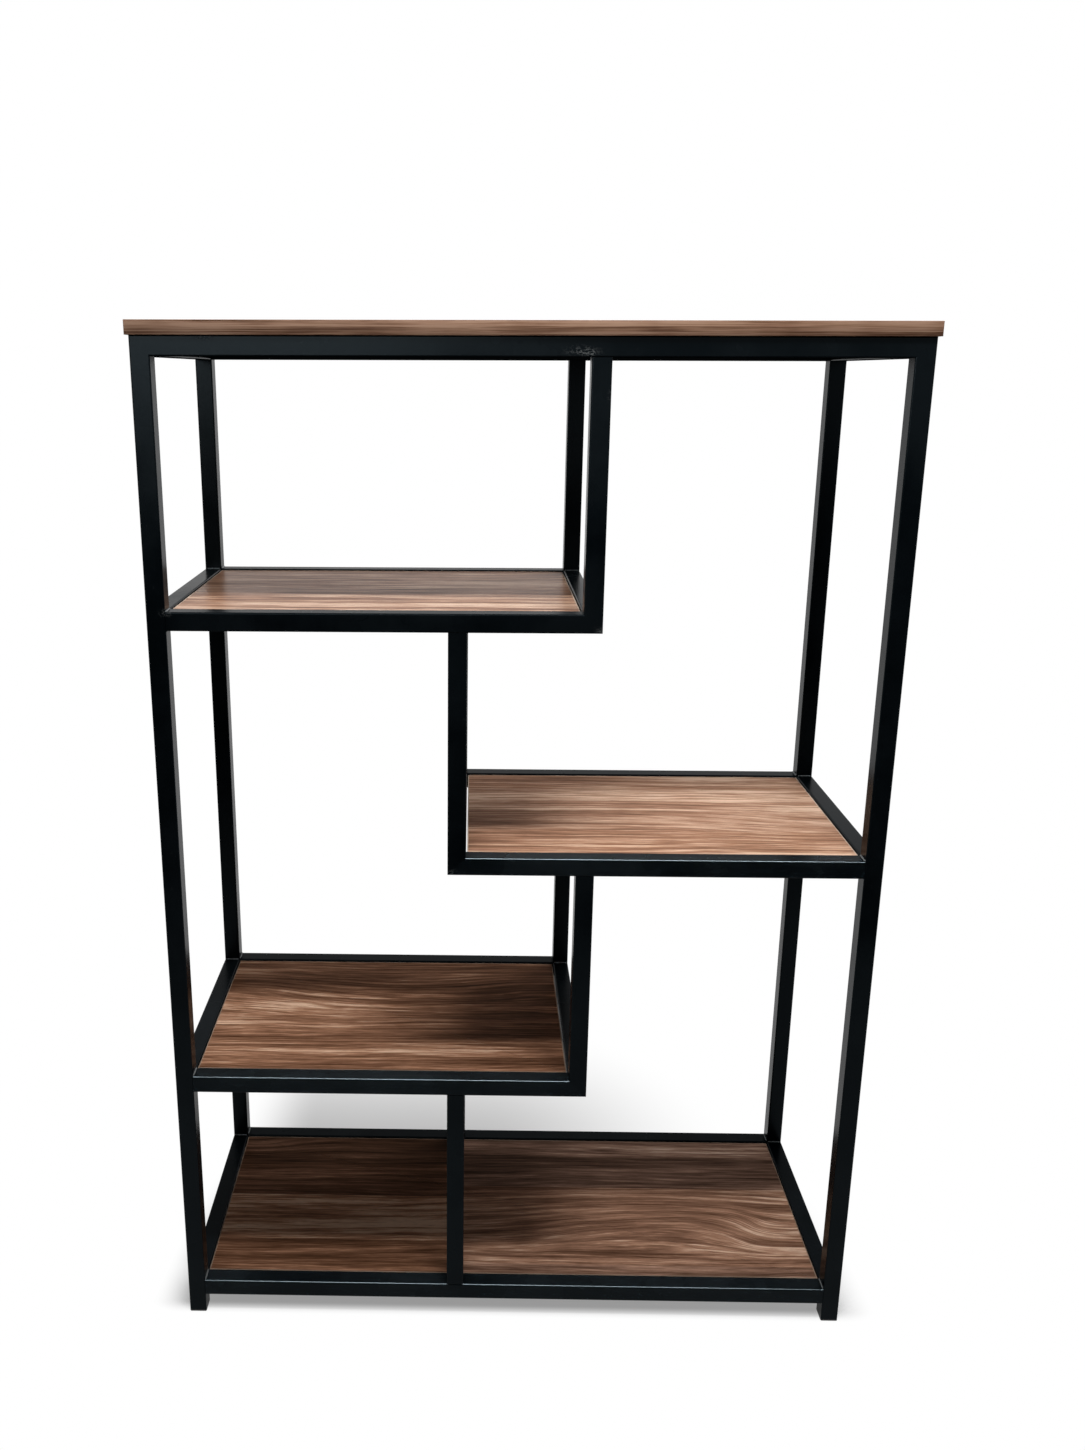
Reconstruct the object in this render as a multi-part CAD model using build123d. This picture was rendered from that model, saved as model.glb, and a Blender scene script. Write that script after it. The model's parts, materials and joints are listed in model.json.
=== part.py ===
"""Open shelving unit: two welded square-tube frames tied by depth rails, with boards dropped into
the shelf frames and one board laid over the top.

Frame: +Z up, the front looks along -Y, the origin is on the floor under the middle of the unit.
All sizes are in millimetres.
"""
import os

from build123d import *

# Square steel tube that the whole frame is cut from
TUBE = 25.4
TUBE_WALL = 1.5
TUBE_RADIUS = 2.0

# Outside of the four posts
FRAME_WIDTH = 992.0
FRAME_DEPTH = 392.0

# Top faces of the rails above the floor
BASE_TOP = 57.0
LOWER_TOP = 409.0
MIDDLE_TOP = 754.0
UPPER_TOP = 1095.0
FRAME_TOP = 1442.0

# Outside length of the three short shelf frames, from a post to the divider at their free end
SHELF_LENGTH = 597.0

# Boards that lie in the shelf frames
BOARD_THICKNESS = 18.0
BOARD_GAP = 1.5
BOARD_RECESS = 2.0
BOARD_ARRIS = 0.6

# Board on top of the frame, with a glued edging strip all round
TOP_BOARD_THICKNESS = 18.0
TOP_BOARD_OVERHANG = 4.0
EDGING_THICKNESS = 1.0

# Steel tabs welded inside the frames, under the boards
TAB_LENGTH = 32.0
TAB_REACH = 20.0
TAB_THICKNESS = 3.0
TAB_CORNER = 6.0
TAB_INSET = 70.0
SHELF_TAB_COUNT = 2
LONG_TAB_COUNT = 3

# Pan-head screws that hold the top board down through its tabs
SCREW_SHANK = 4.0
SCREW_LENGTH = 13.0
SCREW_HEAD = 8.0
SCREW_HEAD_HEIGHT = 2.6
SCREW_HEAD_BEVEL = 1.2
SCREW_CLEARANCE = 0.5
PILOT_CLEARANCE = 0.3

# Plastic inserts in the open lower ends of the posts
FOOT_HEIGHT = 4.0
FOOT_BEVEL = 1.5
PLUG_HEIGHT = 18.0
PLUG_CLEARANCE = 0.2
FIN_DEPTH = 1.6
FIN_THICKNESS = 1.5
FIN_COUNT = 3

# Centre lines of the tubes
HALF = TUBE / 2
POST_X = FRAME_WIDTH / 2 - HALF
FRAME_Y = FRAME_DEPTH / 2 - HALF
LEFT_SHELF_END = SHELF_LENGTH - FRAME_WIDTH / 2 - HALF
RIGHT_SHELF_END = -LEFT_SHELF_END
BORE = TUBE - 2 * TUBE_WALL

UP = Vector(0, 0, 1)
RIGHT = Vector(1, 0, 0)
PLANES = {"front": -FRAME_Y, "rear": FRAME_Y}
SIDES = {"left": -POST_X, "right": POST_X}

# Each tier: height of its rails' top, and the centre lines of its left and right ends
TIERS = {
    "top": (FRAME_TOP, -POST_X, POST_X),
    "upper": (UPPER_TOP, -POST_X, LEFT_SHELF_END),
    "middle": (MIDDLE_TOP, RIGHT_SHELF_END, POST_X),
    "lower": (LOWER_TOP, -POST_X, LEFT_SHELF_END),
    "base": (BASE_TOP, -POST_X, POST_X),
}


def tube(start, end):
    """Hollow square tube with rounded edges, from one point of its centre line to another."""
    run = Vector(end) - Vector(start)
    section = RectangleRounded(TUBE, TUBE, TUBE_RADIUS)
    section -= Rectangle(BORE, BORE)
    return extrude(Plane(origin=start, z_dir=run) * section, run.length)


def mitre(member, corner, away, other):
    """Cut a member in the plane halfway between it and the member that it meets at a corner.

    away points from the corner along the member, and other along the one that it meets.
    """
    return split(member, bisect_by=Plane(origin=corner, z_dir=away - other), keep=Keep.TOP)


def post(x, y):
    """Full-height post, standing on its foot and mitred to the top rail."""
    member = tube((x, y, FOOT_HEIGHT), (x, y, FRAME_TOP))
    inwards = -RIGHT if x > 0 else RIGHT
    return mitre(member, (x, y, FRAME_TOP - HALF), -UP, inwards)


def long_rail(tier, y):
    """Rail along the front or rear of a tier: butted on a post, mitred to a divider or top corner."""
    top, left, right = TIERS[tier]
    z = top - HALF
    meets = -UP if tier == "top" else UP
    butted_left = left == -POST_X and tier != "top"
    butted_right = right == POST_X and tier != "top"
    start = left + HALF if butted_left else left - HALF
    end = right - HALF if butted_right else right + HALF
    member = tube((start, y, z), (end, y, z))
    if not butted_left:
        member = mitre(member, (left, y, z), RIGHT, meets)
    if not butted_right:
        member = mitre(member, (right, y, z), -RIGHT, meets)
    return member


def depth_rail(x, top):
    """Rail from the front frame to the rear frame, butted at both ends."""
    reach = FRAME_Y - HALF
    return tube((x, -reach, top - HALF), (x, reach, top - HALF))


def hanging_divider(x, y, shelf_top, above_top, shelf_side):
    """Upright at the free end of a shelf frame, mitred to its rail and butted under the tier above."""
    member = tube((x, y, shelf_top - TUBE), (x, y, above_top - TUBE))
    return mitre(member, (x, y, shelf_top - HALF), UP, shelf_side)


def standing_divider(x, y):
    """Upright between the base rail and the lower shelf frame, butted at both ends."""
    return tube((x, y, BASE_TOP), (x, y, LOWER_TOP - TUBE))


def inside(tier):
    """Clear opening of a tier's frame: its left and right faces, and half its depth."""
    _, left, right = TIERS[tier]
    return left + HALF, right - HALF, FRAME_Y - HALF


def drop_in_board(tier):
    """Board with eased top edges that lies loose inside a shelf frame, on its tabs."""
    left, right, half_depth = inside(tier)
    length = right - left - 2 * BOARD_GAP
    depth = 2 * (half_depth - BOARD_GAP)
    surface = TIERS[tier][0] - BOARD_RECESS
    place = Location(((left + right) / 2, 0, surface))
    board = place * Box(length, depth, BOARD_THICKNESS, align=(Align.CENTER, Align.CENTER, Align.MAX))
    return chamfer(board.faces().sort_by(Axis.Z)[-1].edges(), BOARD_ARRIS)


def tab_places(tier, count):
    """Places of a tier's tabs: x along the rail, y of the rail's inner face, and the way inwards."""
    left, right, half_depth = inside(tier)
    first = left + TAB_INSET
    pitch = (right - left - 2 * TAB_INSET) / (count - 1)
    rails = ((-half_depth, 1), (half_depth, -1))
    return [(first + i * pitch, y, inwards) for y, inwards in rails for i in range(count)]


def tab(x, y, inwards, seat):
    """Flat steel tab, welded to a rail by its long edge, with its free corners cut off."""
    plate = Box(TAB_LENGTH, TAB_REACH, TAB_THICKNESS, align=(Align.CENTER, Align.MIN, Align.MAX))
    free_corners = plate.edges().filter_by(Axis.Z).group_by(Axis.Y)[-1]
    plate = chamfer(free_corners, TAB_CORNER)
    turn = 0 if inwards > 0 else 180
    return Location((x, y, seat), (0, 0, turn)) * plate


def shelf_tabs(tier, count):
    """All the tabs that one drop-in board rests on."""
    seat = TIERS[tier][0] - BOARD_RECESS - BOARD_THICKNESS
    return [tab(x, y, inwards, seat) for x, y, inwards in tab_places(tier, count)]


def screw_places():
    """Screw axes of the top board, one in the middle of each top tab."""
    return [(x, y + inwards * TAB_REACH / 2) for x, y, inwards in tab_places("top", LONG_TAB_COUNT)]


def top_tabs():
    """Tabs level with the top rails, each drilled for a screw."""
    tabs = [tab(x, y, inwards, FRAME_TOP) for x, y, inwards in tab_places("top", LONG_TAB_COUNT)]
    drill = Cylinder(SCREW_SHANK / 2 + SCREW_CLEARANCE, 3 * TAB_THICKNESS)
    return [plate - Location((x, y, FRAME_TOP)) * drill for plate, (x, y) in zip(tabs, screw_places())]


def screw(x, y):
    """Pan-head screw, turned from one profile, head under its tab and point up in the board."""
    seat = FRAME_TOP - TAB_THICKNESS
    head = SCREW_HEAD / 2
    shank = SCREW_SHANK / 2
    crown = seat - SCREW_HEAD_HEIGHT
    tip = seat + SCREW_LENGTH
    flat = head - SCREW_HEAD_BEVEL
    under_head = [(0, crown), (flat, crown), (head, crown + SCREW_HEAD_BEVEL), (head, seat)]
    up_shank = [(shank, seat), (shank, tip - shank), (0, tip)]
    profile = Plane.XZ * make_face(Polyline(*under_head, *up_shank, close=True))
    return Location((x, y, 0)) * revolve(profile, Axis.Z)


def top_board():
    """Board over the whole frame, inside its edging, drilled from below for the screws."""
    length = FRAME_WIDTH + 2 * (TOP_BOARD_OVERHANG - EDGING_THICKNESS)
    depth = FRAME_DEPTH + 2 * (TOP_BOARD_OVERHANG - EDGING_THICKNESS)
    from_below = (Align.CENTER, Align.CENTER, Align.MIN)
    board = Location((0, 0, FRAME_TOP)) * Box(length, depth, TOP_BOARD_THICKNESS, align=from_below)
    hole_depth = SCREW_LENGTH - TAB_THICKNESS + PILOT_CLEARANCE
    pilot = Cylinder(SCREW_SHANK / 2 + PILOT_CLEARANCE, hole_depth, align=from_below)
    for x, y in screw_places():
        board -= Location((x, y, FRAME_TOP)) * pilot
    return board


def top_board_edging():
    """Four thin strips round the top board, the long ones covering the ends of the short ones."""
    half_length = FRAME_WIDTH / 2 + TOP_BOARD_OVERHANG
    half_depth = FRAME_DEPTH / 2 + TOP_BOARD_OVERHANG
    from_below = (Align.CENTER, Align.CENTER, Align.MIN)
    long_strip = Box(2 * half_length, EDGING_THICKNESS, TOP_BOARD_THICKNESS, align=from_below)
    short_depth = 2 * (half_depth - EDGING_THICKNESS)
    short_strip = Box(EDGING_THICKNESS, short_depth, TOP_BOARD_THICKNESS, align=from_below)
    y = half_depth - EDGING_THICKNESS / 2
    x = half_length - EDGING_THICKNESS / 2
    strips = [Location((0, way * y, FRAME_TOP)) * long_strip for way in (-1, 1)]
    strips += [Location((way * x, 0, FRAME_TOP)) * short_strip for way in (-1, 1)]
    return strips


def foot(x, y):
    """Plastic insert: a bevelled flange under the post's end and a finned plug up inside its bore."""
    from_below = (Align.CENTER, Align.CENTER, Align.MIN)
    flange = extrude(RectangleRounded(TUBE, TUBE, TUBE_RADIUS), FOOT_HEIGHT)
    flange = chamfer(flange.faces().sort_by(Axis.Z)[0].edges(), FOOT_BEVEL)
    fin_side = BORE - 2 * PLUG_CLEARANCE
    core_side = fin_side - 2 * FIN_DEPTH
    insert = flange + Location((0, 0, FOOT_HEIGHT)) * Box(core_side, core_side, PLUG_HEIGHT, align=from_below)
    pitch = PLUG_HEIGHT / (FIN_COUNT + 1)
    for i in range(FIN_COUNT):
        fin = Box(fin_side, fin_side, FIN_THICKNESS)
        insert += Location((0, 0, FOOT_HEIGHT + (i + 1) * pitch)) * fin
    return Location((x, y, 0)) * insert


nodes = {}
for plane, y in PLANES.items():
    for side, x in SIDES.items():
        nodes[f"{plane}_{side}_post"] = post(x, y)
        nodes[f"{plane}_{side}_foot"] = foot(x, y)
    for tier in TIERS:
        nodes[f"{plane}_{tier}_rail"] = long_rail(tier, y)
    nodes[f"{plane}_upper_divider"] = hanging_divider(LEFT_SHELF_END, y, UPPER_TOP, FRAME_TOP, -RIGHT)
    nodes[f"{plane}_middle_divider"] = hanging_divider(RIGHT_SHELF_END, y, MIDDLE_TOP, UPPER_TOP, RIGHT)
    nodes[f"{plane}_lower_divider"] = hanging_divider(LEFT_SHELF_END, y, LOWER_TOP, MIDDLE_TOP, -RIGHT)
    nodes[f"{plane}_base_divider"] = standing_divider(RIGHT_SHELF_END, y)

for tier, (top, left, right) in TIERS.items():
    nodes[f"left_{tier}_rail"] = depth_rail(left, top)
    nodes[f"right_{tier}_rail"] = depth_rail(right, top)

for tier in ("upper", "middle", "lower", "base"):
    count = LONG_TAB_COUNT if tier == "base" else SHELF_TAB_COUNT
    nodes[f"{tier}_board"] = drop_in_board(tier)
    nodes[f"{tier}_board_tabs"] = Compound(shelf_tabs(tier, count))

nodes["top_board"] = top_board()
nodes["top_board_edging"] = Compound(top_board_edging())
nodes["top_board_tabs"] = Compound(top_tabs())
nodes["top_board_screws"] = Compound([screw(x, y) for x, y in screw_places()])

os.makedirs("parts", exist_ok=True)
for name, shape in nodes.items():
    export_step(shape, f"parts/{name}.step")
print(f"wrote {len(nodes)} nodes")
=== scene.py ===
# %% [markdown]
# # An open bookcase of black tube and walnut boards
# The bookcase is a welded frame of square steel tube with boards dropped into its shelf frames. The CAD
# model already gives every tube, board, tab and foot its size and place, in metres, with the floor at zero
# height and the front towards -Y. This lesson dresses that model: it sets up the photo's camera and light,
# paints the tube, models the boards with their eased edges, and adds the welds and screws that a close look
# shows.

# %% Load the CAD model
import json
import math

import bmesh
import bpy
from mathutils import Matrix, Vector


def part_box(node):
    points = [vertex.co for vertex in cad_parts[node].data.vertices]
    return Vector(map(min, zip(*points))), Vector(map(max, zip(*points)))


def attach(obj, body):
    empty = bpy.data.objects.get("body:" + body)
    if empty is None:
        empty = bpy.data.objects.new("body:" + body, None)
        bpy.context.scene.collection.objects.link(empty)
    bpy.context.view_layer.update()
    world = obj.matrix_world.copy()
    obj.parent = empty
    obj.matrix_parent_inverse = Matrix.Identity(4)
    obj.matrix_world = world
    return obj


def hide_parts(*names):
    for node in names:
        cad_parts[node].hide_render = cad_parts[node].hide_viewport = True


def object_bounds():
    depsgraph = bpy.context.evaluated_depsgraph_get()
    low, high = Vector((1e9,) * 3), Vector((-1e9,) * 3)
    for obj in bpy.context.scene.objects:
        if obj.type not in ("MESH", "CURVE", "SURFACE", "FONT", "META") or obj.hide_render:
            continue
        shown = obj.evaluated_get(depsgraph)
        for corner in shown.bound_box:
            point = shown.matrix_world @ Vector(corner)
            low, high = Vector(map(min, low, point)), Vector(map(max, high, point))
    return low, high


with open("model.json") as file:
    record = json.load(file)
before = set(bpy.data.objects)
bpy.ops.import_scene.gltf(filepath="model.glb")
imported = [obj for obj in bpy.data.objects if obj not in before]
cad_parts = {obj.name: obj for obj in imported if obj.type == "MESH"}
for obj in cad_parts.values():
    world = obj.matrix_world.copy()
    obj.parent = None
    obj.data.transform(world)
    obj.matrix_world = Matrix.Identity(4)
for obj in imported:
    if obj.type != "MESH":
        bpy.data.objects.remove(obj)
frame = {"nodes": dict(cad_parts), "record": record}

cad_box = [list(corner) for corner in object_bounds()]
print("CAD nodes:", len(frame["nodes"]), "box:", cad_box)

# %% [markdown]
# ## The camera
# The photo was taken with a wide lens from chest height, a little left of the middle, looking down by
# fifteen degrees. Its frame was cropped off-centre, so the optical axis doesn't meet the middle of the
# picture. The camera's shift puts that crop back, which keeps the uprights as steep as they are in the
# photo.

# %% Camera at the photo's view
PHOTO_HEIGHT = 1450
FOCAL_LENGTH_PIXELS = 1209.0
AXIS_FROM_MIDDLE_PIXELS = (-92.1, -25.0)
SENSOR_HEIGHT = 36.0
CAMERA_SPOT = (-0.0704, -1.7427, 1.3964)
CAMERA_TURN_DEGREES = (74.906, -0.145, 1.042)

camera_turn = [math.radians(angle) for angle in CAMERA_TURN_DEGREES]
bpy.ops.object.camera_add(location=CAMERA_SPOT, rotation=camera_turn)
camera = bpy.context.object
camera.name = "photo_camera"
camera.data.sensor_fit = "VERTICAL"
camera.data.sensor_height = SENSOR_HEIGHT
camera.data.lens = FOCAL_LENGTH_PIXELS / PHOTO_HEIGHT * SENSOR_HEIGHT
camera.data.shift_x = -AXIS_FROM_MIDDLE_PIXELS[0] / PHOTO_HEIGHT
camera.data.shift_y = AXIS_FROM_MIDDLE_PIXELS[1] / PHOTO_HEIGHT
bpy.context.scene.camera = camera
bpy.context.scene.view_settings.view_transform = "Standard"
print("lens", round(camera.data.lens, 2), "mm")

# %% [markdown]
# ## Helpers for materials
# A finish is a small graph of nodes. Writing every link by hand hides the idea, so one helper adds a node
# and fills its inputs in order: a socket is linked, None is left alone, and anything else is set as a
# value. The others are short names for steps that come back in every finish.


# %% Node helpers
def put(tree, kind, *values, **settings):
    """Add a node of a kind, set its options and fill its inputs in order."""
    node = tree.nodes.new("ShaderNode" + kind)
    for key, value in settings.items():
        setattr(node, key, value)
    for socket, value in zip(node.inputs, values):
        if isinstance(value, bpy.types.NodeSocket):
            tree.links.new(value, socket)
        elif value is not None:
            socket.default_value = value
    return node


def maths(tree, operation, *values):
    """One step of arithmetic between numbers or sockets."""
    return put(tree, "Math", *values, operation=operation).outputs[0]


def add(tree, first, *others):
    """Sum of numbers or sockets."""
    for other in others:
        first = maths(tree, "ADD", first, other)
    return first


def times(tree, first, *others):
    """Product of numbers or sockets."""
    for other in others:
        first = maths(tree, "MULTIPLY", first, other)
    return first


def remap(tree, value, old, new, **settings):
    """Carry a value from an old range to a new one, and hold it at the ends."""
    return put(tree, "MapRange", value, *old, *new, **settings).outputs[0]


def blend_colours(tree, factor, first, second):
    """Mix two colours, sockets or plain values, by a factor that comes from a socket."""
    node = tree.nodes.new("ShaderNodeMix")
    node.data_type = "RGBA"
    for name, value in (("Factor_Float", factor), ("A_Color", first), ("B_Color", second)):
        socket = next(s for s in node.inputs if s.identifier == name)
        if isinstance(value, bpy.types.NodeSocket):
            tree.links.new(value, socket)
        else:
            socket.default_value = (*value, 1.0)
    return next(s for s in node.outputs if s.identifier == "Result_Color")


def ramp(tree, factor, stops, interpolation="LINEAR"):
    """Colour ramp through (place, colour) stops."""
    node = put(tree, "ValToRGB", factor)
    node.color_ramp.interpolation = interpolation
    elements = node.color_ramp.elements
    elements[0].position, elements[0].color = stops[0][0], (*stops[0][1], 1.0)
    elements[1].position, elements[1].color = stops[-1][0], (*stops[-1][1], 1.0)
    for place, colour in stops[1:-1]:
        elements.new(place).color = (*colour, 1.0)
    return node.outputs["Color"]


def stretched_noise(tree, vector, scale, detail, roughness, shift=0.0):
    """Noise in object space, squeezed by a different scale along each axis."""
    place = put(tree, "Mapping", vector, (shift, shift, shift), None, scale)
    return put(tree, "TexNoise", place.outputs[0], None, 1.0, detail, roughness).outputs[0]


def new_material(name):
    """An empty material with its tree and its shader."""
    material = bpy.data.materials.new(name)
    material.use_nodes = True
    tree = material.node_tree
    return material, tree, tree.nodes["Principled BSDF"]


def object_place(tree):
    """Coordinates in metres, in the shared frame."""
    return put(tree, "TexCoord").outputs["Object"]


def link_bump(tree, shader, strength, depth, height):
    """Let a height roughen the surface, by a depth in metres."""
    bump = put(tree, "Bump", strength, depth, None, height)
    tree.links.new(bump.outputs[0], shader.inputs["Normal"])


print("helpers ready")

# %% [markdown]
# ## Studio
# The background of the photo is plain white, and the floor keeps a faint grey shadow. The floor is a large
# plane that fades to white around the unit, so no horizon shows. It keeps its real shading in a pool behind
# the unit's left half and in a thin line under the front rail. One long lamp hangs high in front, as a
# ceiling tube does: it throws the straight shadow edges that cross the boards, sharp along the shelf and
# soft across it. Two soft boxes stand close above, in front and behind, so that the upper shelves get more
# light than the lower ones. Faint light from overhead fills the rest.
#
# Black paint shows little but reflections, so three things are there for gloss alone. A window in front to
# the left brightens the left half of the top rail. A black card stands for whatever was dark around the
# camera, and keeps the rails at half height black. A strip high in front draws the thin bright line on the
# rounded edge of the lower front rails.

# %% Rays that see the background
WHITE = (1.0, 1.0, 1.0, 1.0)
BLACK = (0.0, 0.0, 0.0, 1.0)
OFF_TO_ON = (0.0, 1.0)


def sees_background(tree):
    """One for the rays that should meet plain white: from the camera, off gloss and through glass."""
    rays = put(tree, "LightPath").outputs
    bounced = maths(tree, "MAXIMUM", rays["Is Glossy Ray"], rays["Is Transmission Ray"])
    return maths(tree, "MAXIMUM", rays["Is Camera Ray"], bounced)


def stage_material(piece, name):
    """A bare material for a piece of the studio, with its tree and its output."""
    material, tree, shader = new_material(name)
    tree.nodes.remove(shader)
    piece.data.materials.append(material)
    return tree, tree.nodes["Material Output"].inputs["Surface"]


print("studio helpers ready")

# %% Floor
FLOOR_SIZE = 40.0
FLOOR_SEEN, FLOOR_BOUNCE = 0.95, 0.30
SHADOW_LEFT, SHADOW_RIGHT, SHADOW_FRONT = -0.36, -0.08, -0.172
FADE_LEFT, FADE_RIGHT, FADE_FRONT, FADE_BESIDE, FADE_BEHIND = 3.4, 0.95, 18.0, 8.0, 1.0
LEAST_WHITE, WHITE_FROM = 0.30, 0.50


def beyond(tree, place, edge, rate):
    """How far a place lies past an edge, times a rate; a negative rate looks to the lower side."""
    past = maths(tree, "SUBTRACT", place, edge)
    return maths(tree, "MAXIMUM", times(tree, past, rate), 0.0)


bpy.ops.object.select_all(action="DESELECT")
bpy.ops.mesh.primitive_plane_add(size=FLOOR_SIZE)
floor = bpy.context.object
floor.name = "floor"
tree, surface = stage_material(floor, "studio_floor")
(unit_left, unit_front, _), (unit_right, unit_back, _) = cad_box
floor_x, floor_y, _ = put(tree, "SeparateXYZ", object_place(tree)).outputs
aside_in_front = add(tree, beyond(tree, floor_x, unit_left, -FADE_BESIDE),
                     beyond(tree, floor_x, unit_right, FADE_BESIDE))
aside_behind = add(tree, beyond(tree, floor_x, SHADOW_LEFT, -FADE_LEFT),
                   beyond(tree, floor_x, SHADOW_RIGHT, FADE_RIGHT))
aside = remap(tree, floor_y, (unit_front, unit_back), (aside_in_front, aside_behind))
behind = beyond(tree, floor_y, unit_back, FADE_BEHIND)
in_front = beyond(tree, floor_y, SHADOW_FRONT, -FADE_FRONT)
outside = put(tree, "CombineXYZ", aside, behind, in_front).outputs[0]
distance = put(tree, "VectorMath", outside, operation="LENGTH").outputs["Value"]
white = remap(tree, distance, (0.0, WHITE_FROM), (LEAST_WHITE, 1.0), interpolation_type="SMOOTHSTEP")
seen = sees_background(tree)
shaded = put(tree, "BsdfDiffuse", remap(tree, seen, OFF_TO_ON, (FLOOR_BOUNCE, FLOOR_SEEN))).outputs[0]
glow = put(tree, "Emission", WHITE, 1.0).outputs[0]
mixed = put(tree, "MixShader", times(tree, seen, white), shaded, glow).outputs[0]
tree.links.new(mixed, surface)
print("floor", FLOOR_SIZE, "m")

# %% Black card
CARD_WIDTH, CARD_HEIGHT, CARD_Y = 2.8, 1.2, -1.3

bpy.ops.object.select_all(action="DESELECT")
bpy.ops.mesh.primitive_plane_add(size=1.0, location=(0.0, CARD_Y, CARD_HEIGHT / 2),
                                 rotation=(math.pi / 2, 0.0, 0.0))
card = bpy.context.object
card.name = "black_card"
card.scale = (CARD_WIDTH, CARD_HEIGHT, 1.0)
card.visible_camera = card.visible_diffuse = False
card.visible_shadow = card.visible_transmission = False
tree, surface = stage_material(card, "black_card")
tree.links.new(put(tree, "BsdfDiffuse", BLACK).outputs[0], surface)
print("card", CARD_WIDTH, "by", CARD_HEIGHT, "m")

# %% Surroundings
OVERHEAD_LIGHT, HORIZON_LIGHT = 0.18, 0.05
OVERHEAD_RANGE = (0.40, 0.70)

world = bpy.data.worlds.new("white_surroundings")
bpy.context.scene.world = world
world.use_nodes = True
tree = world.node_tree
background = tree.nodes["Background"]
background.inputs["Color"].default_value = WHITE
height = put(tree, "SeparateXYZ", put(tree, "TexCoord").outputs["Generated"]).outputs["Z"]
fill = remap(tree, height, OVERHEAD_RANGE, (HORIZON_LIGHT, OVERHEAD_LIGHT))
strength = remap(tree, sees_background(tree), OFF_TO_ON, (fill, 1.0))
tree.links.new(strength, background.inputs["Strength"])
print("surroundings", HORIZON_LIGHT, "to", OVERHEAD_LIGHT)

# %% Lamps
# Each lamp has its spot, its length and width in metres, and its power in watts.
LAMPS = {"ceiling_tube": ((0.18, -1.05, 3.3), 1.2, 0.12, 45.0),
         "front_softbox": ((0.1, -0.50, 2.3), 1.0, 0.5, 9.0),
         "rear_softbox": ((0.45, 0.85, 2.0), 0.8, 0.8, 10.0),
         "window": ((-1.15, -3.2, 1.9), 2.1, 0.9, 60.0),
         "edge_strip": ((0.0, -1.30, 4.0), 3.0, 0.8, 7500.0)}
LAMP_TARGET = Vector((0.0, 0.0, 0.8))
UNSEEN_IN_GLOSS = ("front_softbox", "rear_softbox")
ONLY_FOR_GLOSS = ("window", "edge_strip")

for name, (spot, length, width, power) in LAMPS.items():
    bpy.ops.object.light_add(type="AREA", location=spot)
    lamp = bpy.context.object
    lamp.name = name
    lamp.data.shape = "RECTANGLE"
    lamp.data.size, lamp.data.size_y = length, width
    lamp.data.energy = power
    lamp.rotation_euler = (LAMP_TARGET - Vector(spot)).to_track_quat("-Z", "Y").to_euler()
    lamp.visible_camera = False
    lamp.visible_glossy = name not in UNSEEN_IN_GLOSS
    lamp.visible_diffuse = name not in ONLY_FOR_GLOSS
    print(name, power, "W")
bright_edged = bpy.data.collections.new("bright_edged_rails")
bpy.data.objects["edge_strip"].light_linking.receiver_collection = bright_edged

# %% [markdown]
# ## Black satin paint
# The tube is sprayed black, with a faint blue-green cast in the paint and in its gloss. Sprayed paint is
# never quite flat: it has a fine orange peel, patches a little duller than the rest, and rubbed spots from
# handling. The colour stays almost black and the gloss does the work, so roughness and bump carry the
# detail. Dust takes some gloss off the tops, and undersides get only a dry mist of spray and stay dull.
# Where a weld was ground by hand the skin stays coarse and scratched: those spots are given by their place
# and reach, and noise breaks up their outline. Weld beads get the same recipe with a coarser skin, in greys
# that are partly rubbed paint and partly a painted glint, pale enough to show as a light line in shade too.

# %% Values of the paint
ROUGH_SPOTS = [((0.064, -0.196, 1.4235), (0.015, 0.006, 0.0045)),
               ((0.074, -0.196, 1.4215), (0.006, 0.006, 0.0030)),
               ((-0.402, -0.196, 1.4400), (0.010, 0.006, 0.0030)),
               ((-0.470, -0.196, 1.0940), (0.006, 0.008, 0.0040)),
               ((0.098, -0.196, 1.0725), (0.006, 0.010, 0.0050)),
               ((-0.098, -0.196, 0.7310), (0.008, 0.010, 0.0050)),
               ((0.101, -0.196, 1.3700), (0.003, 0.006, 0.0060))]
RUBBED_GREY, SCRATCHED_GREY = (0.060, 0.064, 0.064), (0.120, 0.127, 0.127)
TUBE_BLACKS = [(0.35, (0.0010, 0.0022, 0.0032)), (0.65, (0.0048, 0.0070, 0.0086))]
# The weld greys are partly rubbed paint and partly a painted glint on the bead.
WELD_GREYS_AND_PAINTED_GLINT = [(0.3, (0.080, 0.084, 0.085)), (0.7, (0.200, 0.207, 0.209))]
TUBE_GLOSS, WELD_GLOSS = 0.052, 0.40
GLOSS_CAST = (0.72, 0.90, 1.0)
# A noise has its scale along each axis, its detail and its roughness.
PATCHES = ((9.0, 9.0, 9.0), 4.0, 0.55)
RUBS = ((55.0, 55.0, 55.0), 6.0, 0.7)
SCRATCHES = ((150.0, 150.0, 280.0), 3.0, 0.6)
TUBE_PEEL = ((700.0, 700.0, 700.0), 2.0, 0.55)
WELD_PEEL = ((450.0, 450.0, 450.0), 2.0, 0.55)
TUBE_PEEL_STRENGTH, WELD_PEEL_STRENGTH, PEEL_DEPTH = 0.05, 0.45, 0.0004
PATCH_RANGE, SATIN_RANGE = (0.25, 0.75), (0.22, 0.32)
RUB_RANGE, MOST_RUBBED = (0.66, 0.76), 0.22
SCRATCH_WIDTH, SCRATCH_HEIGHT = (0.010, 0.045), 6.0
TOPSIDE, UNDERSIDE = (0.5, 0.9), (-0.5, -0.9)
DUST_LEAVES = 0.38
DRY_ROUGHNESS, WORN_ROUGHNESS = 0.6, 0.3
print("rough spots", len(ROUGH_SPOTS))


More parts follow.
